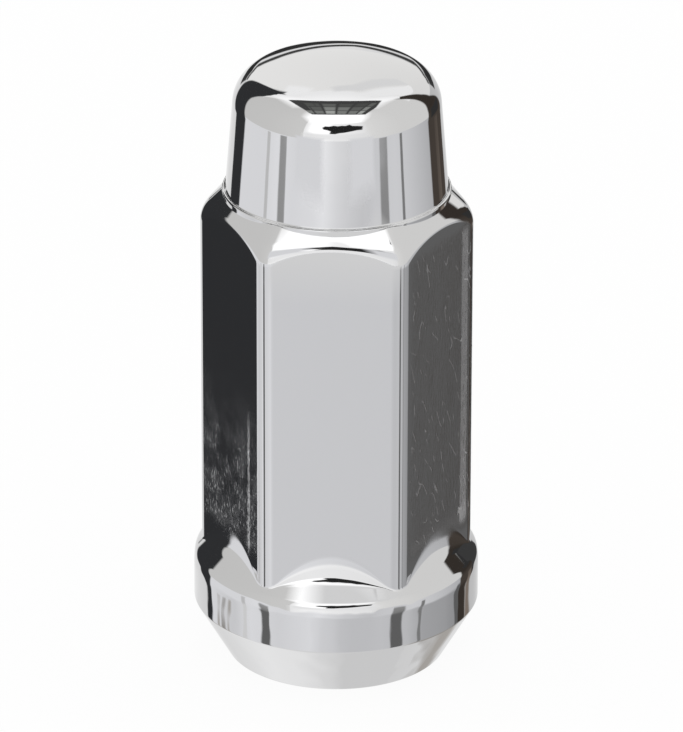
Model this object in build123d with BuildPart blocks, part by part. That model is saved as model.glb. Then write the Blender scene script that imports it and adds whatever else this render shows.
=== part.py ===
from build123d import *
import os
from math import cos, radians, sin, sqrt, tan

# Closed-end lug nut for an M14 x 1.5 stud, forged in one piece.
# Millimetres. It stands on its seat end at z = 0, with its axis on +Z and one flat facing -Y.

# Driving dimensions
overall_height = 50.8
across_flats = 19.05  # 3/4 in hexagon
corner_radius = 1.5

seat_half_angle = 30  # 60 degree conical seat
seat_small_radius = 8.775
skirt_radius = 11.4
bulge_height = 8.5  # where the skirt's wall would meet the cone above it
bulge_half_angle = 45
bulge_crown_radius = 1.3  # rounding from the wall into that cone
bulge_hollow_radius = 4.6  # hollow that runs from the cone up into the flats
hollow_root_radius = 9.42  # where the hollow would stand upright, just inside the flats

shoulder_height = 39.3  # where the shoulder cone reaches the collar
shoulder_half_angle = 45
shoulder_edge_radius = 0.5  # the cone rolls over onto the flats and corners

collar_radius = 9.03
collar_rise = 0.6  # thin raised ring round the foot of the cap
cap_foot_radius = 8.78
cap_draft = 4.6
cap_crown_radius = 18.0
cap_edge_radius = 3.0

bore_radius = 6.25  # tapping drill for M14 x 1.5
bore_depth = 38.0
mouth_radius = 7.3
drill_point_half_angle = 59

# Derived heights and radii
apothem = across_flats / 2
corner_reach = across_flats  # well outside the corners
bulge_angle = radians(bulge_half_angle)
shoulder_slope = tan(radians(shoulder_half_angle))
skirt_bottom = (skirt_radius - seat_small_radius) / tan(radians(seat_half_angle))
cone_root = bulge_height + (skirt_radius - hollow_root_radius) / tan(bulge_angle)
hollow_top = cone_root + bulge_hollow_radius * tan(bulge_angle / 2)
hollow_foot_radius = hollow_root_radius + bulge_hollow_radius * (1 - cos(bulge_angle))
hollow_foot = hollow_top - bulge_hollow_radius * sin(bulge_angle)
shoulder_low = shoulder_height - (corner_reach - collar_radius) / shoulder_slope
collar_top = shoulder_height + collar_rise
cap_top_radius = cap_foot_radius - (overall_height - collar_top) * tan(radians(cap_draft))
crown_rim_height = overall_height - cap_crown_radius + sqrt(cap_crown_radius**2 - cap_top_radius**2)
mouth_depth = mouth_radius - bore_radius
drill_point_top = bore_depth + bore_radius / tan(radians(drill_point_half_angle))

with BuildPart() as lug_nut:
    # Long hexagon with rounded corners
    with BuildSketch(Plane.XY.offset(skirt_bottom)):
        RegularPolygon(apothem, 6, major_radius=False)
        fillet(vertices(), corner_radius)
    extrude(amount=shoulder_height - skirt_bottom)

    # Conical shoulder, turned on the top of the hexagon
    with BuildSketch(Plane.XZ):
        Polygon(
            (0, 0),
            (corner_reach, 0),
            (corner_reach, shoulder_low),
            (collar_radius, shoulder_height),
            (0, shoulder_height),
            align=None,
        )
    revolve(axis=Axis.Z, mode=Mode.INTERSECT)
    shoulder = faces().filter_by(GeomType.CONE)[0]
    shoulder_rim = shoulder.edges().filter_by(
        lambda edge: edge.geom_type in (GeomType.HYPERBOLA, GeomType.BSPLINE)
    )
    fillet(shoulder_rim, shoulder_edge_radius)

    # Conical seat, round skirt, and the bulge that rises from the skirt into the flats
    with BuildSketch(Plane.XZ):
        with BuildLine():
            Polyline(
                (0, hollow_top),
                (0, 0),
                (seat_small_radius, 0),
                (skirt_radius, skirt_bottom),
                (skirt_radius, bulge_height),
                (hollow_foot_radius, hollow_foot),
            )
            RadiusArc(
                (hollow_foot_radius, hollow_foot), (hollow_root_radius, hollow_top), bulge_hollow_radius
            )
            Line((hollow_root_radius, hollow_top), (0, hollow_top))
        make_face()
        fillet(vertices().sort_by_distance((skirt_radius, bulge_height))[0], bulge_crown_radius)
    revolve(axis=Axis.Z)

    # Collar and the tapered, domed cap above it
    with BuildSketch(Plane.XZ):
        with BuildLine():
            Polyline(
                (0, shoulder_height),
                (collar_radius, shoulder_height),
                (collar_radius, collar_top),
                (cap_foot_radius, collar_top),
                (cap_top_radius, crown_rim_height),
            )
            RadiusArc((cap_top_radius, crown_rim_height), (0, overall_height), -cap_crown_radius)
            Line((0, overall_height), (0, shoulder_height))
        make_face()
        fillet(vertices().sort_by_distance((cap_top_radius, crown_rim_height))[0], cap_edge_radius)
    revolve(axis=Axis.Z)

    # Blind bore with a chamfered mouth and a drill point at its end
    with BuildSketch(Plane.XZ):
        Polygon(
            (0, 0),
            (mouth_radius, 0),
            (bore_radius, mouth_depth),
            (bore_radius, bore_depth),
            (0, drill_point_top),
            align=None,
        )
    revolve(axis=Axis.Z, mode=Mode.SUBTRACT)

os.makedirs("parts", exist_ok=True)
lug_nut.part.label = "lug_nut"
export_step(lug_nut.part, "parts/lug_nut.step")
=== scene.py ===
"""A bright chrome lug nut standing on its seat end in a white studio.

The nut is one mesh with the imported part's own form. It adds the soft run-outs of the forging, the fine rolls
on its edges and the M14 x 1.5 thread in its blind bore, and its chrome has the light marks of use. Round it
stands a light tent made of cards, which only the chrome shows.
"""

from math import atan2, cos, hypot, pi, radians, sin, sqrt, tan
from random import Random

import bmesh
import bpy
from mathutils import Matrix, Vector


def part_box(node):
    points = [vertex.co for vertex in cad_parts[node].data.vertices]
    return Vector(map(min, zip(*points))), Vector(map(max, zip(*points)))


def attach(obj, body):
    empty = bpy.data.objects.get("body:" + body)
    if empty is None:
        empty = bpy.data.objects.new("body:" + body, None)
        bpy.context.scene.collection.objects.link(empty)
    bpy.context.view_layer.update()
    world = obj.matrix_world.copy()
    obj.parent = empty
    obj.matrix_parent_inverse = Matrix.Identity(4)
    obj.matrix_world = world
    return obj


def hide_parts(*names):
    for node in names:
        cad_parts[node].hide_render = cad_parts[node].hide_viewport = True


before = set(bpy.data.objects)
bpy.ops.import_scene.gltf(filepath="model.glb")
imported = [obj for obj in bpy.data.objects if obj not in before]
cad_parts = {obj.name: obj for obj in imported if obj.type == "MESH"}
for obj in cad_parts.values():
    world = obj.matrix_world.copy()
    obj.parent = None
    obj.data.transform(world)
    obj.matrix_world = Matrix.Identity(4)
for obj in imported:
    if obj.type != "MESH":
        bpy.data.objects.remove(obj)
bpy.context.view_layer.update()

MM = 0.001

# ---------------------------------------------------------------- the nut's sizes, in millimetres

CAD_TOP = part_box("lug_nut")[1] / MM
HEIGHT = CAD_TOP.z
SKIRT_RADIUS = CAD_TOP.x
ACROSS_FLATS = 19.05
CORNER_RADIUS = 1.5

SEAT_RADIUS = 8.775
SEAT_HALF_ANGLE = radians(30)
SEAT_EDGE = 0.2
SKIRT_EDGE = 0.25
BULGE_HEIGHT = 8.5
CROWN_EASE, CROWN_WIDE, CROWN_TIGHT = radians(7), 8.0, 1.0
HOLLOW_EASE, HOLLOW_WIDE, HOLLOW_TIGHT = radians(14), 8.0, 1.6
HOLLOW_SHRINKS = 0.9
HOLLOW_SMALLEST = 0.12

COLLAR_RADIUS = 9.03
COLLAR_FOOT = 39.4
COLLAR_FOOT_RISE = 0.35
COLLAR_TOP = 39.9
SHOULDER_HEIGHT = 38.5
SHOULDER_DROP = 0.55
SHOULDER_EDGE = 1.1
SHOULDER_CORNER_EDGE = 2.6
ROUNDING_WIDTH = 4.7
COLLAR_EDGE = 0.12
COLLAR_CREASE = 0.08
CAP_FOOT_RADIUS = 8.78
CAP_DRAFT = radians(4.6)
CAP_CROWN = 18.0
CAP_EDGE = 3.0

BORE_RADIUS = 6.25
BORE_DEPTH = 38.0
DRILL_POINT = radians(59)
MOUTH_RADIUS = 7.3
THREAD_RADIUS = 7.0
THREAD_PITCH = 1.5
THREAD_TOP = 34.5
THREAD_FADE = 2.0
ROOT_FLAT = THREAD_PITCH / 8

APOTHEM = ACROSS_FLATS / 2
CORNER_CENTRE = (APOTHEM - CORNER_RADIUS) / cos(pi / 6)
CORNER_REACH = CORNER_CENTRE + CORNER_RADIUS
HALF_FLAT = (APOTHEM - CORNER_RADIUS) * tan(pi / 6)
SKIRT_FOOT = (SKIRT_RADIUS - SEAT_RADIUS) / tan(SEAT_HALF_ANGLE)

# How finely the mesh follows the forms. A guard is a row just outside a roll, and keeps the run past it flat
FLAT_STEPS = 30
CORNER_STEPS = 12
EASE_STEPS, BEND_STEPS = 9, 13
EDGE_STEPS, CREASE_STEPS = 6, 4
SHOULDER_STEPS = 14
CAP_EDGE_STEPS, CAP_CROWN_STEPS = 22, 14
GUARD = 0.06
BORE_STRIDE = 5
THREAD_SAMPLES = 12


# ---------------------------------------------------------------- lines of the section


def spread(start, end, steps):
    """Evenly spaced numbers from start to end, both included."""
    return [start + (end - start) * i / steps for i in range(steps + 1)]


def arc(centre, radius, start, end, steps):
    """Points round a centre in the section, from one elevation to another. A hollow has a negative radius."""
    return [(centre[0] + radius * cos(a), centre[1] + radius * sin(a)) for a in spread(start, end, steps)]


def rolled(before, corner, after, radius, steps):
    """The corner between two straight runs, rolled to a radius, with a guard on each run."""
    at = Vector(corner)
    u, v = (Vector(before) - at).normalized(), (Vector(after) - at).normalized()
    half = u.angle(v) / 2
    reach = radius / tan(half)
    centre = at + (u + v).normalized() * radius / sin(half)
    start, end = at + u * reach - centre, at + v * reach - centre
    first = atan2(start.y, start.x)
    bend = arc(centre, radius, first, first - start.angle_signed(end), steps)
    return [tuple(at + u * (reach + GUARD)), *bend, tuple(at + v * (reach + GUARD))]


def columns():
    """Each upright line of the mesh: its direction round the axis, and how far the hexagon reaches there."""
    found = []
    for side in range(6):
        facing = radians(60 * side - 90)
        runs = [-HALF_FLAT, *spread(-HALF_FLAT + GUARD, HALF_FLAT - GUARD, FLAT_STEPS), HALF_FLAT]
        found += [(facing + atan2(run, APOTHEM), hypot(run, APOTHEM)) for run in runs]
        corner = facing + radians(30)
        for turn in spread(facing, facing + radians(60), CORNER_STEPS)[1:-1]:
            x = CORNER_CENTRE * cos(corner) + CORNER_RADIUS * cos(turn)
            y = CORNER_CENTRE * sin(corner) + CORNER_RADIUS * sin(turn)
            found.append((facing + (atan2(y, x) - facing) % (2 * pi), hypot(x, y)))
    return found


def seat_and_skirt():
    """The edge of the seat's end, the conical seat, and the edge where the skirt's wall starts."""
    inner, small = (MOUTH_RADIUS, 0), (SEAT_RADIUS, 0)
    large, wall = (SKIRT_RADIUS, SKIRT_FOOT), (SKIRT_RADIUS, HEIGHT)
    seat_end = rolled(inner, small, large, SEAT_EDGE, EDGE_STEPS)
    return seat_end + rolled(small, large, wall, SKIRT_EDGE, EDGE_STEPS)


def cornerwise(reach):
    """How far round a column is from the middle of a flat to a corner, from 0 to 1."""
    return (reach - APOTHEM) / (CORNER_REACH - APOTHEM)


def eased_bend(wide, tight, ease):
    """A 45 degree bend as runs and rises. It leaves an upright wall on a wide arc and ends on a tight one."""
    first = [(wide * (1 - cos(a)), wide * sin(a)) for a in spread(0, ease, EASE_STEPS)]
    run, rise = first[-1]
    rest = spread(ease, pi / 4, BEND_STEPS)[1:]
    return first + [(run + tight * (cos(ease) - cos(a)), rise + tight * (sin(a) - sin(ease))) for a in rest]


def bulge(reach):
    """The skirt's crown, the 45 degree slope above it, and the hollow from there into the wall at this reach.

    The hollow is wide at the middle of a flat, and it shrinks to a crease at a corner.
    """
    bend = eased_bend(CROWN_WIDE, CROWN_TIGHT, CROWN_EASE)
    start = BULGE_HEIGHT + bend[-1][0] - bend[-1][1]
    crown = [(SKIRT_RADIUS - run, start + rise) for run, rise in bend]
    size = max(HOLLOW_SMALLEST, 1 - HOLLOW_SHRINKS * (reach - APOTHEM))
    bend = eased_bend(HOLLOW_WIDE * size, HOLLOW_TIGHT * size, HOLLOW_EASE)
    end = BULGE_HEIGHT + SKIRT_RADIUS - reach - bend[-1][0] + bend[-1][1]
    hollow = [(reach + run, end - rise) for run, rise in reversed(bend)]
    return [(SKIRT_RADIUS, start - GUARD), *crown, *hollow, (reach, end + GUARD)]


def collar_foot(reach):
    """The shoulder meets the collar a little higher above the corners than above the flats."""
    return COLLAR_RADIUS, COLLAR_FOOT + COLLAR_FOOT_RISE * cornerwise(reach)


def shoulder(reach):
    """The roll from the hexagon's wall at this reach on to the shoulder, which rises to the collar's foot.

    The roll is widest where a flat meets a corner, which rounds the flat's upper corners.
    """
    edge = (reach, SHOULDER_HEIGHT - SHOULDER_DROP * cornerwise(reach))
    inset = HALF_FLAT - sqrt(max(0, reach**2 - APOTHEM**2))
    near = 1 - max(0, inset) / ROUNDING_WIDTH
    edge_r = SHOULDER_EDGE + (SHOULDER_CORNER_EDGE - SHOULDER_EDGE) * near**3
    return rolled((reach, 0), edge, collar_foot(reach), edge_r, SHOULDER_STEPS)


def cap(reach):
    """The collar, the tapered cap, the roll at its edge and its domed crown."""
    foot, lip, root = collar_foot(reach), (COLLAR_RADIUS, COLLAR_TOP), (CAP_FOOT_RADIUS, COLLAR_TOP)
    below = (COLLAR_RADIUS + 1, foot[1] - 1)
    upright = (CAP_FOOT_RADIUS - (HEIGHT - COLLAR_TOP) * tan(CAP_DRAFT), HEIGHT)

    # The roll touches the tapered wall and the crown, so its centre is CAP_EDGE inside both
    crown_z = HEIGHT - CAP_CROWN
    along = Vector((-sin(CAP_DRAFT), cos(CAP_DRAFT)))
    start = Vector(root) - Vector((cos(CAP_DRAFT), sin(CAP_DRAFT))) * CAP_EDGE - Vector((0, crown_z))
    inside = CAP_CROWN - CAP_EDGE
    travel = -start.dot(along) + sqrt(start.dot(along) ** 2 - start.length_squared + inside**2)
    centre = start + along * travel
    over = atan2(centre.y, centre.x)
    roll = arc(centre + Vector((0, crown_z)), CAP_EDGE, CAP_DRAFT, over, CAP_EDGE_STEPS)
    crown = arc((0, crown_z), CAP_CROWN, over, pi / 2, CAP_CROWN_STEPS)[1:-1]
    guard = tuple(Vector(roll[0]) - along * GUARD)

    foot_crease = rolled(below, foot, lip, COLLAR_CREASE, CREASE_STEPS)[1:]
    edge = rolled(foot, lip, root, COLLAR_EDGE, EDGE_STEPS)
    root_crease = rolled(lip, root, upright, COLLAR_CREASE, CREASE_STEPS)[1:]
    return [*foot_crease, *edge, *root_crease, guard, *roll, *crown]


# ---------------------------------------------------------------- the mesh


def face(mesh, *corners):
    """A face between corners, some of which may be the same point."""
    distinct = list(dict.fromkeys(corners))
    if len(distinct) > 2:
        mesh.faces.new(distinct)


def point(mesh, angle, r, z):
    """A point of the mesh, from its direction round the axis, its radius and its height."""
    return mesh.verts.new((r * cos(angle) * MM, r * sin(angle) * MM, z * MM))


def build_outside(mesh):
    """The outside, column by column from the seat's end to the crown. Returns its ring on the seat's end."""
    below = seat_and_skirt()
    lines = []
    for angle, reach in columns():
        section = below + bulge(reach) + shoulder(reach) + cap(reach)
        lines.append([point(mesh, angle, r, z) for r, z in section])
    peak = point(mesh, 0, 0, HEIGHT)
    for here, there in zip(lines, lines[1:] + lines[:1]):
        for j in range(len(here) - 1):
            face(mesh, here[j], there[j], there[j + 1], here[j + 1])
        face(mesh, here[-1], there[-1], peak)
    return [line[0] for line in lines]


def thread_reach(z, along_pitch):
    """Radius of the bore at a height, where along_pitch runs from 0 to 1 over one turn of the thread."""
    depth = THREAD_RADIUS - BORE_RADIUS
    flank = depth * tan(pi / 6)
    from_root = abs(along_pitch - 0.5) * THREAD_PITCH - ROOT_FLAT / 2
    cut = min(1, max(0, 1 - from_root / flank)) * min(1, (THREAD_TOP - z) / THREAD_FADE)
    return max(BORE_RADIUS + depth * cut, MOUTH_RADIUS - z)


def build_bore(mesh, angles):
    """The chamfered mouth, the thread, the plain end of the bore and its drill point.

    Returns the rings at the mouth and at the bottom, where the bore's edges are sharp.
    """
    mouth = [point(mesh, a, MOUTH_RADIUS, 0) for a in angles]
    ending = [point(mesh, a, BORE_RADIUS, THREAD_TOP) for a in angles]
    bottom = [point(mesh, a, BORE_RADIUS, BORE_DEPTH) for a in angles]
    peak = point(mesh, 0, 0, BORE_DEPTH + BORE_RADIUS / tan(DRILL_POINT))

    def on_helix(i, k):
        z = THREAD_PITCH * (k / THREAD_SAMPLES + (angles[i] - angles[0]) / (2 * pi) - 1)
        if z <= 0:
            return mouth[i]
        if z >= THREAD_TOP:
            return ending[i]
        return point(mesh, angles[i], thread_reach(z, k / THREAD_SAMPLES % 1), z)

    count = len(angles)
    samples = int((THREAD_TOP / THREAD_PITCH + 2) * THREAD_SAMPLES)
    grid = [[on_helix(i, k) for k in range(samples + 1)] for i in range(count)]
    grid.append(grid[0][THREAD_SAMPLES:])
    for here, there in zip(grid, grid[1:]):
        for k in range(min(len(here), len(there)) - 1):
            face(mesh, there[k], here[k], here[k + 1], there[k + 1])
    for i in range(count):
        j = (i + 1) % count
        face(mesh, ending[j], ending[i], bottom[i], bottom[j])
        face(mesh, bottom[j], bottom[i], peak)
    return mouth, bottom


def build_nut():
    """The outside and the bore, joined by the seat's end."""
    mesh = bmesh.new()
    rim = build_outside(mesh)
    angles = [angle for angle, _ in columns()][::BORE_STRIDE]
    mouth, bottom = build_bore(mesh, angles)
    for i in range(len(angles)):
        j = (i + 1) % len(angles)
        outer = [rim[(BORE_STRIDE * i + step) % len(rim)] for step in range(BORE_STRIDE + 1)]
        face(mesh, mouth[i], mouth[j], *reversed(outer))
    for f in mesh.faces:
        f.smooth = True
    for ring in (mouth, bottom):
        for a, b in zip(ring, ring[1:] + ring[:1]):
            mesh.edges.get((a, b)).smooth = False
    bmesh.ops.recalc_face_normals(mesh, faces=mesh.faces)
    data = bpy.data.meshes.new("lug_nut_body")
    mesh.to_mesh(data)
    mesh.free()
    return data


# ---------------------------------------------------------------- finishes


class Wire:
    """A socket in a finish's nodes. Arithmetic on it adds Math nodes."""

    def __init__(self, finish, socket):
        self.finish, self.socket = finish, socket

    def maths(self, operation, *operands):
        return self.finish.add("ShaderNodeMath", {"operation": operation}, operands)

    def __abs__(self):
        return self.maths("ABSOLUTE", self)

    def __add__(self, other):
        return self.maths("ADD", self, other)

    def __sub__(self, other):
        return self.maths("SUBTRACT", self, other)

    def __rsub__(self, other):
        return self.maths("SUBTRACT", other, self)

    def __mul__(self, other):
        return self.maths("MULTIPLY", self, other)

    def between(self, low, high):
        """0 at low and below, 1 at high and above, smooth in between."""
        settings = {"interpolation_type": "SMOOTHSTEP"}
        values = {"Value": self, "From Min": low, "From Max": high}
        return self.finish.add("ShaderNodeMapRange", settings, values)

    __radd__, __rmul__ = __add__, __mul__


class Finish:
    """A material whose nodes are added one expression at a time."""

    def __init__(self, name):
        self.material = bpy.data.materials.new(name)
        self.material.use_nodes = True
        self.nodes = self.material.node_tree.nodes
        self.shader = self.nodes["Principled BSDF"]

    def add(self, kind, settings=None, values=None, output=0):
        """Any node, from its kind, its settings and its sockets' values or wires. Gives one output."""
        node = self.nodes.new(kind)
        for key, value in (settings or {}).items():
            setattr(node, key, value)
        items = values.items() if isinstance(values, dict) else enumerate(values or ())
        for key, value in items:
            self.plug(node.inputs[key], value)
        return Wire(self, node.outputs[output])

    def plug(self, socket, value):
        if isinstance(value, Wire):
            self.material.node_tree.links.new(value.socket, socket)
        else:
            socket.default_value = value

    def set(self, **values):
        for key, value in values.items():
            self.plug(self.shader.inputs[key.replace("_", " ")], value)

    def show(self, surface):
        self.plug(self.nodes["Material Output"].inputs["Surface"], surface)

    def place(self):
        """Where the surface is on the nut, in millimetres."""
        where = self.add("ShaderNodeTexCoord", output="Object")
        return self.add("ShaderNodeVectorMath", {"operation": "SCALE"}, {0: where, "Scale": 1 / MM})

    def stretched(self, where, scale):
        return self.add("ShaderNodeVectorMath", {"operation": "MULTIPLY"}, (where, scale))

    def axis(self, where, name):
        return self.add("ShaderNodeSeparateXYZ", {}, {0: where}, output=name)

    def leaning(self, where, degrees):
        """The same places leaned to one side, for marks that don't run quite upright."""
        values = {"Vector": where, "Angle": radians(degrees)}
        return self.add("ShaderNodeVectorRotate", {"rotation_type": "X_AXIS"}, values)

    def lines(self, where, width):
        """Thin lines that wander and never branch."""
        return 1 - abs(self.noise(where, 1.0, 0.0) - 0.5).between(0.0, width)

    def noise(self, where, scale, detail=2.0, roughness=0.5):
        values = {"Vector": where, "Scale": scale, "Detail": detail, "Roughness": roughness}
        return self.add("ShaderNodeTexNoise", {}, values)


# Where the finish changes, as heights on the nut, and how the sides next to the front one run
SKIRT_TOP = 7.5, 8.4
HEXAGON_FOOT = 10.5, 12.5
HEXAGON_TOP = 36.5, 38.0
SIDE_RUN_X, SIDE_RUN_Y = 0.5, 0.866

CHROME = (0.78, 0.78, 0.785, 1)
CHROME_ROUGHNESS = 0.035
RELIEF_DEPTH = 0.005


def bright_chrome():
    """The bright plating, with marks of use on the hexagon's left and right sides."""
    finish = Finish("bright_chrome")
    where = finish.place()
    x, y, height = (finish.axis(where, name) for name in "XYZ")
    on_hexagon = height.between(*HEXAGON_FOOT) * (1 - height.between(*HEXAGON_TOP))

    # The plating's faint waviness, much plainer on the turned skirt, with an upright drawn grain on the walls
    on_skirt = 1 - height.between(*SKIRT_TOP)
    waves = finish.noise(finish.stretched(where, (0.45, 0.45, 0.3)), 1.0, 1.0) * (1 + on_skirt * 9)
    grain = finish.noise(finish.stretched(where, (5.0, 5.0, 0.25)), 1.0, 4.0, 0.65)

    # The left side: short upright marks from a socket, denser near the bulge, a light film, a scuffed line
    left = (0 - x).between(5.2, 6.0) * on_hexagon
    low = 1 - height.between(14, 28)
    flecks = finish.noise(finish.stretched(where, (6.5, 6.5, 2.2)), 1.0, 1.5, 0.5)
    patches = finish.noise(where, 0.5, 2.0)
    marks = flecks.between(0.6 - low * 0.05, 0.74 - low * 0.05) * left * low * patches.between(0.3, 0.5)
    along = x * SIDE_RUN_X - y * SIDE_RUN_Y
    scuffed = along.between(2.85, 3.15) * (1 - along.between(3.25, 3.55))
    scuffed = scuffed * left * (1 - height.between(20, 25)) * flecks.between(0.3, 0.5)
    film = left * (1 - height.between(18, 30)) * patches.between(0.1, 0.7)

    # The right side, rubbed against other nuts: a fine haze, thin leaning scratches, a worn strip and foot
    rubbed = x.between(5.6, 6.4) * on_hexagon
    haze = finish.noise(finish.stretched(finish.leaning(where, 8), (7.0, 7.0, 0.9)), 1.0, 4.0, 0.7)
    scratches = finish.lines(finish.stretched(finish.leaning(where, -24), (1.1, 1.1, 0.14)), 0.02)
    scratches = scratches * finish.noise(where, 0.9, 1.0).between(0.5, 0.57) * rubbed
    along = x * SIDE_RUN_X + y * SIDE_RUN_Y
    worn = along.between(3.1, 3.5) * (1 - along.between(4.2, 4.4)) * rubbed * haze.between(0.2, 0.5)
    foot = rubbed * (1 - height.between(11, 14.5))

    relief = waves + grain * 0.05 + marks * 0.08 + (haze * 0.6 + scratches * 0.5) * rubbed
    roughness = CHROME_ROUGHNESS + film * 0.09 + marks * 0.1 + scuffed * 0.16
    roughness = roughness + rubbed * 0.02 + scratches * 0.2 + worn * 0.22 + foot * 0.15
    bump = {"Strength": 1.0, "Distance": RELIEF_DEPTH * MM, "Height": relief}
    finish.set(
        Base_Color=CHROME,
        Metallic=1.0,
        Roughness=roughness,
        Normal=finish.add("ShaderNodeBump", {}, bump),
    )
    return finish.material


nut = bpy.data.objects.new("lug_nut_body", build_nut())
bpy.context.scene.collection.objects.link(nut)
nut.data.materials.append(bright_chrome())
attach(nut, "root")
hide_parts("lug_nut")


# ---------------------------------------------------------------- studio

# But for the floor, the studio is cards that only the chrome shows, and a nearer card hides a farther one. A
# place on a card is a direction in degrees or a spot on the ceiling, distances are parts of STUDIO_REACH, and
# a strength of 1 is white.
EYE_LEVEL = 0.025
STUDIO_REACH = 4.0
CLOSE_CARD_HEIGHT = 32.5
CLOSE_CARD_PLACE = -20.0
BAND_STEP_ALONG, BAND_STEP_ACROSS = 4, 5
MITRE_LIMIT = 0.4

WHITE = (1, 1, 1)
WARM = (1.0, 0.995, 0.98)
COOL = (0.985, 0.99, 1.015)
BLUE_BLACK = (0.94, 0.97, 1.04)
BROWN = (1.15, 0.95, 0.8)
FAWN = (1.04, 0.99, 0.93)
GREENISH = (0.97, 1.0, 0.95)


def towards(azimuth, elevation):
    """A direction from the nut: azimuth 0 is in front of it and 90 to its right, in degrees."""
    a, e = radians(azimuth), radians(elevation)
    return Vector((sin(a) * cos(e), -cos(a) * cos(e), sin(e)))


def overhead(x, y):
    """The direction of a spot on the ceiling, x to the right and y away, measured in the ceiling's height."""
    return Vector((x, y, 1))


def close_by(x, y, z):
    """A place beside the nut, in millimetres, as a card at distance 1 takes it."""
    return (Vector((x, y, z)) * MM - Vector((0, 0, EYE_LEVEL))) / STUDIO_REACH


def close_over(x, y):
    """A place on the small level card held close over the bulge's front."""
    return close_by(x, y, CLOSE_CARD_HEIGHT)


def close_before(x, z):
    """A place on the small upright cards held close before the shoulder."""
    return close_by(x, CLOSE_CARD_PLACE, z)


def card_light():
    """What the cards show: a colour at each corner, and as its alpha how much of the card is there."""
    finish = Finish("card_light")
    finish.nodes.remove(finish.shader)
    named = {"attribute_name": "shade"}
    colour = finish.add("ShaderNodeAttribute", named, output="Color")
    light = finish.add("ShaderNodeEmission", {}, {"Color": colour})
    clear = finish.add("ShaderNodeBsdfTransparent")
    cover = finish.add("ShaderNodeAttribute", named, output="Alpha")
    finish.show(finish.add("ShaderNodeMixShader", {}, (cover, clear, light)))
    return finish.material


CARD_LIGHT = card_light()


def stand(name, mesh, material, only_in_chrome=True):
    """Stands a card, which only the chrome shows, or the floor, which everything but the chrome shows."""
    data = bpy.data.meshes.new(name)
    mesh.to_mesh(data)
    mesh.free()
    data.materials.append(material)
    item = bpy.data.objects.new(name, data)
    bpy.context.scene.collection.objects.link(item)
    item.visible_glossy = only_in_chrome
    item.visible_camera = item.visible_diffuse = item.visible_shadow = not only_in_chrome


def corner(mesh, shade, direction, distance, strength, colour, cover):
    """A corner of a card, with its light and how much of the card is there."""
    vertex = mesh.verts.new(direction * distance * STUDIO_REACH + Vector((0, 0, EYE_LEVEL)))
    vertex[shade] = (*[strength * part for part in colour], cover)
    return vertex


def card(name, strength, outline, distance, soft=0.0, colour=WHITE, place=towards):
    """A card from its outline. Its edge fades out over a width, when it is soft."""
    mesh = bmesh.new()
    shade = mesh.verts.layers.float_color.new("shade")
    at = [Vector(p) for p in outline]
    turn = 1 if sum(a.cross(b) for a, b in zip(at, at[1:] + at[:1])) > 0 else -1

    def ring(grown, cover):
        """The card's corners, moved outwards by a width."""
        found = []
        for before, here, after in zip(at[-1:] + at[:-1], at, at[1:] + at[:1]):
            u, v = (here - before).normalized(), (after - here).normalized()
            outward = Vector((u.y + v.y, -u.x - v.x)) / max(MITRE_LIMIT, 1 + u.dot(v)) * turn
            direction = place(*(here + outward * grown))
            found.append(corner(mesh, shade, direction, distance, strength, colour, cover))
        return found

    inner = ring(-soft / 2, 1)
    mesh.faces.new(inner)
    if soft:
        outer = ring(soft / 2, 0)
        for i in range(len(at)):
            mesh.faces.new((inner[i - 1], inner[i], outer[i], outer[i - 1]))
    stand(name, mesh, CARD_LIGHT)


def at_station(stations, along):
    """The stations' values at a place along a band."""
    for start, end in zip(stations, stations[1:]):
        if start[0] <= along <= end[0]:
            part = (along - start[0]) / (end[0] - start[0])
            return [a + (b - a) * part for a, b in zip(start[1:], end[1:])]
    return list(stations[0][1:] if along < stations[0][0] else stations[-1][1:])


def band(name, stations, distance, soft=0.0, colour=WHITE, upright=False):
    """A long card curved round the nut, from stations along it.

    A station has its azimuth, the band's two elevations there and its strength. On an upright band it has its
    elevation, the band's two azimuths there and its strength.
    """
    mesh = bmesh.new()
    shade = mesh.verts.layers.float_color.new("shade")
    first, last = stations[0][0], stations[-1][0]
    places = {first + soft / 2, last - soft / 2, *[s[0] for s in stations[1:-1]]}
    places |= set(spread(first + soft / 2, last - soft / 2, max(1, int((last - first) / BAND_STEP_ALONG))))
    rows = [(place, 1) for place in sorted(places)]
    if soft:
        rows = [(first - soft / 2, 0), *rows, (last + soft / 2, 0)]
    steps = max(1, int(max(s[2] - s[1] for s in stations) / BAND_STEP_ACROSS))
    grid = []
    for along, cover in rows:
        low, high, strength = at_station(stations, along)
        middle = (low + high) / 2
        across = spread(min(low + soft / 2, middle), max(high - soft / 2, middle), steps)
        line = [(place, cover) for place in across]
        if soft:
            line = [(low - soft / 2, 0), *line, (high + soft / 2, 0)]
        row = []
        for place, covered in line:
            direction = towards(place, along) if upright else towards(along, place)
            row.append(corner(mesh, shade, direction, distance, strength, colour, covered))
        grid.append(row)
    for here, there in zip(grid, grid[1:]):
        for j in range(len(here) - 1):
            mesh.faces.new((here[j], there[j], there[j + 1], here[j + 1]))
    stand(name, mesh, CARD_LIGHT)


def level(low, high, *tones):
    """Stations of a level band, from pairs of azimuth and strength."""
    return [(azimuth, low, high, strength) for azimuth, strength in tones]


def mirrored(*stations):
    """Stations from the right of the nut to straight behind it, and the same again on its left."""
    return [*stations, *[(360 - azimuth, *values) for azimuth, *values in reversed(stations[:-1])]]


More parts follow.
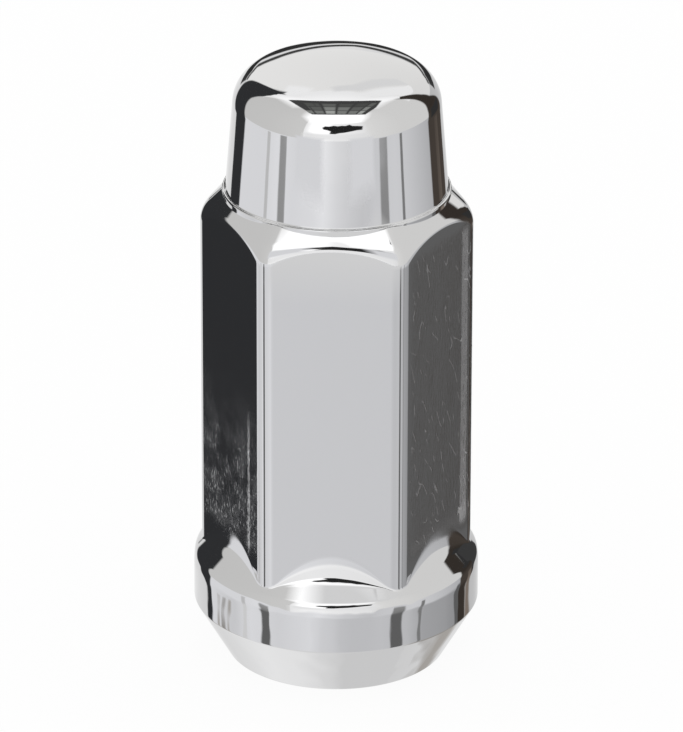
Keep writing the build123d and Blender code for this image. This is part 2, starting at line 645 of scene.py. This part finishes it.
# The light tent: grey side walls, the bright panel in front and the paler backdrop
WALL_FOOT, WALL_TOP = -12, 72
PANEL_FOOT, PANEL_TOP = WALL_FOOT + 1, 60
left_wall = level(WALL_FOOT, WALL_TOP, (-122, 0.66), (-75, 0.68), (-50, 0.71), (-34, 0.73))
front_panel = level(
    PANEL_FOOT, PANEL_TOP,
    (-31, 1.2), (-22, 1.45), (-8, 1.35), (0, 1.12), (18, 1.04), (34, 0.95),
)
panel_foot = level(PANEL_FOOT, 7, (-34, 0.95), (-10, 1.02), (36, 0.9))
right_wall = level(WALL_FOOT, WALL_TOP, (30, 0.9), (45, 0.83), (75, 0.77), (122, 0.76))
backdrop = level(10, 56, (120, 0.85), (150, 0.86), (165, 0.88), (180, 0.915), (200, 0.95), (240, 0.98))
band("left_wall", left_wall, 1.0, colour=WARM)
band("front_panel", front_panel, 0.97, soft=6)
band("panel_foot", panel_foot, 0.95, soft=7)
band("right_wall", right_wall, 1.0, colour=WARM)
band("backdrop", backdrop, 1.04, colour=WARM)

# The table, which darkens from the left to the right
back_table = level(
    -36, 10,
    (126, 0.55), (150, 0.6), (165, 0.68), (180, 0.85), (195, 0.88), (210, 0.8), (240, 0.76),
)
far_table = level(
    -24, WALL_FOOT,
    (-122, 0.84), (-80, 0.84), (-64, 0.9), (-45, 0.85), (-22, 0.88), (-12, 0.94), (2, 0.8),
    (14, 0.72), (28, 0.66), (40, 0.72), (66, 0.76), (82, 0.7), (100, 0.61), (122, 0.5),
)
near_table = level(
    -34, -21,
    (-122, 0.86), (-106, 0.78), (-90, 0.72), (-70, 0.87), (-45, 0.79), (-18, 0.87), (-9, 0.77), (-2, 0.73),
    (6, 0.67), (14, 0.64), (26, 0.64), (40, 0.66), (62, 0.6), (70, 0.54), (78, 0.44), (102, 0.4), (122, 0.3),
)
foot_table = level(
    -89, -32,
    (-240, 0.75), (-190, 0.8), (-155, 0.78), (-120, 0.97), (-100, 0.95), (-60, 0.83),
    (0, 0.77), (50, 0.72), (120, 0.72),
)
band("back_table", back_table, 1.02)
band("far_table", far_table, 0.99, colour=COOL)
band("near_table", near_table, 0.96, soft=4, colour=COOL)
band("foot_table", foot_table, 1.0)

# The white ceiling: a bright front, a glow over the nut, and the back round a dark opening with a greyer line
ceiling_front = (-0.75, -1.25), (0.75, -1.25), (0.62, -0.62), (0.5, -0.36), (-0.42, -0.36), (-0.62, -0.62)
ceiling_glow = (-0.55, 0.0), (0.5, 0.0), (0.56, 0.5), (-0.64, 0.54)
ceiling_back = (
    (-0.5, 0.32), (0.46, 0.33), (0.57, 0.42), (0.7, 0.5), (1.6, 0.6),
    (1.6, 0.7), (-1.6, 0.7), (-1.1, 0.67), (-0.79, 0.6),
)
ceiling_right = (0.12, 0.66), (0.31, 0.95), (0.56, 1.34), (1.0, 1.3), (0.94, 0.88), (0.76, 0.66)
ceiling_left = (-0.2, 0.66), (-0.2, 0.76), (-0.38, 0.97), (-0.42, 0.82), (-0.42, 0.66)
ceiling_line = (
    (-0.04, 0.67), (0.14, 0.72), (0.31, 0.98), (0.56, 1.38),
    (0.48, 1.5), (0.23, 1.1), (0.08, 0.84), (-0.06, 0.76),
)
opening = (-0.39, -0.45), (0.49, -0.42), (0.49, 0.0), (0.41, 0.38), (0, 0.47), (-0.49, 0.36), (-0.46, 0)
card("ceiling_front", 1.35, ceiling_front, 0.6, soft=0.2, place=overhead)
card("ceiling_glow", 1.22, ceiling_glow, 0.58, soft=0.24, place=overhead)
card("ceiling_back", 1.01, ceiling_back, 0.6, soft=0.08, place=overhead)
card("ceiling_right", 1.01, ceiling_right, 0.6, soft=0.06, place=overhead)
card("ceiling_left", 1.03, ceiling_left, 0.6, soft=0.05, place=overhead)
card("ceiling_line", 0.82, ceiling_line, 0.59, soft=0.04, place=overhead)
card("overhead_opening", 0.06, opening, 0.55, soft=0.02, place=overhead)

# The paler lattice across the opening, which shows as uneven panes
LATTICE_LEFT, LATTICE_RIGHT = -0.45, 0.4
LATTICE_COLUMNS, LATTICE_PITCH, PANE_WIDTH = 6, 0.155, 0.125
LATTICE_ROWS = (-0.38, -0.2), (-0.17, 0.02), (0.05, 0.24)
ROW_INSET, ROW_STEP = 0.03, 0.1
lattice = Random(4)
for column in range(LATTICE_COLUMNS):
    for row, (near, far) in enumerate(LATTICE_ROWS):
        start = LATTICE_LEFT + LATTICE_PITCH * column
        left = max(start, LATTICE_LEFT + ROW_INSET + ROW_STEP * row)
        right = min(start + PANE_WIDTH, LATTICE_RIGHT)
        tone = lattice.uniform(0.16, 0.42) * (1.1 - 0.35 * row)
        pane = (left, near), (right, near), (right, far), (left, far)
        card("lattice", tone, pane, 0.5, soft=0.02, colour=GREENISH, place=overhead)

# Dark gaps between the side walls and the backdrop
left_gap = [
    (-31, -126, -119, 0.033), (-22, -129, -118, 0.033), (-18, -145, -116.5, 0.035),
    (-15, -145, -115, 0.035), (0, -146, -117, 0.035), (5, -147, -118, 0.035), (20, -149.5, -121, 0.035),
    (25, -150, -121, 0.035), (38, -152, -122, 0.035), (45, -153, -128, 0.035),
    (48, -154, -136, 0.035), (52, -155, -146, 0.035),
]
right_gap = [
    (-31, 119, 130, 0.04), (-24, 119, 131, 0.04), (-20, 119, 156, 0.06), (-10, 118.5, 149, 0.05),
    (0, 118, 142, 0.035), (10, 119, 134.5, 0.035), (25, 119, 131, 0.035), (40, 120, 131.5, 0.035),
    (47, 121.5, 132, 0.035), (53, 125, 132.5, 0.035),
]
right_gap_edge = [(-32, 113, 119.5, 0.13), (-19, 114, 119.5, 0.13)]
right_gap_back = [(-32, 131, 139, 0.2), (-20, 131, 140, 0.2)]
band("left_gap", left_gap, 0.8, soft=2, colour=BLUE_BLACK, upright=True)
band("right_gap", right_gap, 0.8, soft=2, colour=BROWN, upright=True)
band("right_gap_edge", right_gap_edge, 0.78, soft=1.5, upright=True)
band("right_gap_back", right_gap_back, 0.78, soft=4, colour=BROWN, upright=True)

# The camera's dark opening in the front panel
camera_opening = (
    (-15, 25), (-12, 30), (-7, 30), (-2, 33), (3, 31.5), (8, 33), (12, 32), (17, 35),
    (20, 31), (26, 29.5), (32, 27), (30, 17), (24, 17), (18, 15), (10, 12), (5, 11),
    (0, 8), (-6, 8), (-5, 16), (-9, 19), (-13, 20),
)
card("camera", 0.02, camera_opening, 0.7, soft=1.5)

# Upright seams of the tent, below eye level
wide_seam_left = [
    (-34, -63, -52, 0.13), (-24, -63, -52.5, 0.14),
    (-20, -61, -53, 0.25), (-13.5, -61, -53, 0.36),
]
thin_seam_left = [
    (-34, -77.8, -74, 0.74), (-24, -77.8, -74, 0.74),
    (-20, -77.8, -73.8, 0.6), (-13.5, -77.8, -73.8, 0.6),
]
wide_seam_right = [
    (-34, 47.5, 56, 0.13), (-24, 47, 56, 0.14),
    (-20, 47.3, 56.5, 0.25), (-13.5, 47.3, 56.8, 0.31),
]
thin_seam_right = [
    (-34, 72, 75.5, 0.18), (-24, 72.5, 75.5, 0.25),
    (-20, 72.8, 76, 0.22), (-13.5, 72.8, 76, 0.22),
]
band("wide_seam_left", wide_seam_left, 0.8, soft=1.5, upright=True)
band("thin_seam_left", thin_seam_left, 0.8, soft=1, upright=True)
band("wide_seam_right", wide_seam_right, 0.8, soft=1.5, upright=True)
band("thin_seam_right", thin_seam_right, 0.8, soft=1, upright=True)

# The two lines of the table's edge behind, and the painted shadow of the nut on the floor near its foot, which
# the seat and the skirt show as darker places low down
edge_low = mirrored((150, -1, 8.5, 0.05), (160, -2, 10, 0.03), (170, -8, 3.5, 0.03), (180, -15, -3.5, 0.03))
edge_high = mirrored((150, 9.3, 12.5, 0.12), (160, 10.8, 14, 0.06), (168, 8, 12, 0.05), (180, -0.5, 4, 0.04))
foot_shadow = (141, -38), (160, -38), (158, -50), (147, -53)
# Painted shadow: dark cards for the nut's own shadow on the floor, seen as dark lines along the skirt's lower
# edge
skirt_shadow_line_right = [
    (70, -58, -34, 0.45), (100, -58, -34, 0.33), (130, -57, -34, 0.33),
    (145, -49, -34, 0.36), (150, -44, -34, 0.38),
]
skirt_shadow_line_left = level(-40, -33, (-142, 0.45), (-110, 0.4), (-80, 0.6))
band("table_edge_low", edge_low, 0.8, soft=1.5)
band("table_edge_high", edge_high, 0.79, soft=1.5)
card("foot_shadow", 0.42, foot_shadow, 0.8, soft=7, colour=FAWN)
band("skirt_shadow_line_right", skirt_shadow_line_right, 0.82, soft=3, colour=FAWN)
band("skirt_shadow_line_left", skirt_shadow_line_left, 0.82, soft=3, colour=FAWN)

# Creases of the tent on the left
for azimuth, width, strength in ((-96, 3, 0.42), (-102, 4, 0.3), (-109, 4, 0.42)):
    crease = [(elevation, azimuth - width / 2, azimuth + width / 2, strength) for elevation in (-34, -26)]
    band("crease", crease, 0.85, soft=2, colour=FAWN, upright=True)

# Five small cards held close, each shown by only some of the nut's forms: a grey one over the bulge's front,
# two pale ones before the shoulder's front corners, and two dark ones behind and to the right
grey = (-7.5, -30.5), (24, -30.5), (24, -17.1), (-7.5, -17.1)
card("close_grey", 0.78, grey, 1.0, soft=9, place=close_over)
for left, right in ((-14, -3.7), (4.7, 14)):
    pale = (left, 39.3), (right, 39.3), (right, 45.5), (left, 45.5)
    card("close_pale", 0.82, pale, 1.0, soft=2, colour=COOL, place=close_before)
band("close_dark", [(-3.5, 121, 140.5, 0.035), (9, 121, 140.5, 0.035)], 0.026, soft=1, upright=True)
band("close_dark_low", [(-42, 120.5, 139, 0.05), (-2, 120.5, 139, 0.05)], 0.0095, soft=1, upright=True)

world = bpy.data.worlds.new("studio")
bpy.context.scene.world = world
world.use_nodes = True
world.node_tree.nodes["Background"].inputs["Color"].default_value = (1, 1, 1, 1)

# ---------------------------------------------------------------- floor

FLOOR_SIZE = 3.0
FLOOR_OWN_WHITE = 0.93


def white_floor():
    """Mostly the floor's own white where it is seen, with some of the nut's soft shadow."""
    finish = Finish("white_floor")
    finish.set(Base_Color=(0.9, 0.9, 0.9, 1), Roughness=0.8)
    kinds = ("Is Camera Ray", "Is Glossy Ray", "Is Transmission Ray")
    in_view, in_gloss, through_glass = [finish.add("ShaderNodeLightPath", output=kind) for kind in kinds]
    own_white = (in_view + in_gloss + through_glass) * FLOOR_OWN_WHITE
    white = finish.add("ShaderNodeEmission", {}, {"Color": (1, 1, 1, 1), "Strength": 1.0})
    lit = Wire(finish, finish.shader.outputs[0])
    finish.show(finish.add("ShaderNodeMixShader", {}, (own_white, lit, white)))
    return finish.material


floor_mesh = bmesh.new()
bmesh.ops.create_grid(floor_mesh, x_segments=1, y_segments=1, size=FLOOR_SIZE)
stand("floor", floor_mesh, white_floor(), only_in_chrome=False)

# ---------------------------------------------------------------- camera

FILM_WIDTH = 36
LENS = 397.7
NEAREST, FARTHEST = 0.05, 20
CAMERA_TURN = radians(2.017)
CAMERA_TILT = radians(24.385)
CAMERA_ROLL = 0.0023
CAMERA_PLACE = Vector((0.3956, -545.82, 271.76)) * MM

camera_data = bpy.data.cameras.new("camera")
camera_data.sensor_width = FILM_WIDTH
camera_data.sensor_fit = "HORIZONTAL"
camera_data.lens = LENS
camera_data.clip_start, camera_data.clip_end = NEAREST, FARTHEST
camera = bpy.data.objects.new("camera", camera_data)
camera.matrix_world = (
    Matrix.Rotation(CAMERA_TURN, 4, "Z")
    @ Matrix.Translation(CAMERA_PLACE)
    @ Matrix.Rotation(pi / 2 - CAMERA_TILT, 4, "X")
    @ Matrix.Rotation(CAMERA_ROLL, 4, "Z")
)
bpy.context.scene.collection.objects.link(camera)
bpy.context.scene.camera = camera
bpy.context.scene.view_settings.view_transform = "Standard"
